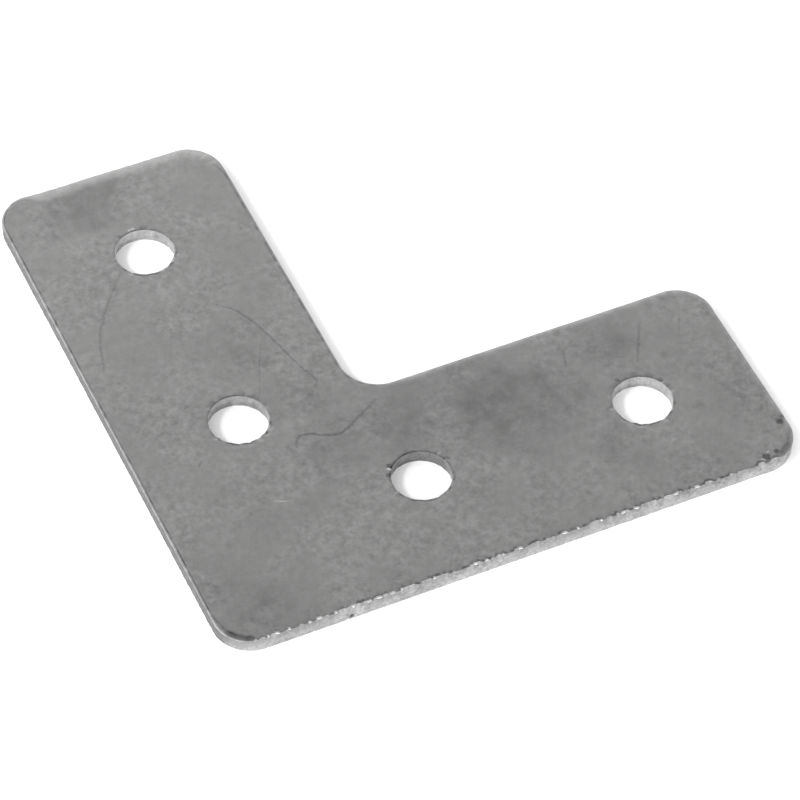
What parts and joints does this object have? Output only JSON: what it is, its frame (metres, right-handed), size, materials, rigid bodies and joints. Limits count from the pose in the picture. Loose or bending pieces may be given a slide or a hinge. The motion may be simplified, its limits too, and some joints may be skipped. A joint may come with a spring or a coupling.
{
  "type": "flat corner brace bracket",
  "caption": "Flat L-shaped sheet-steel corner brace with rounded corners, an inner fillet and bolt holes along both arms, for joining two members at a right angle.",
  "frame": {"origin": "on the underside, where the centre lines of the two rows of holes cross", "axes": "+X along one arm's row of holes and +Y along the other's, away from the corner; +Z from the underside to the top face, the one with the rolled edges"},
  "size_m": [0.077, 0.077, 0.002],
  "materials": {
    "plated_steel": "satin zinc plate, lightly scratched"
  },
  "bodies": {
    "root": {"corner_plate": "plated_steel"}
  },
  "joints": []
}
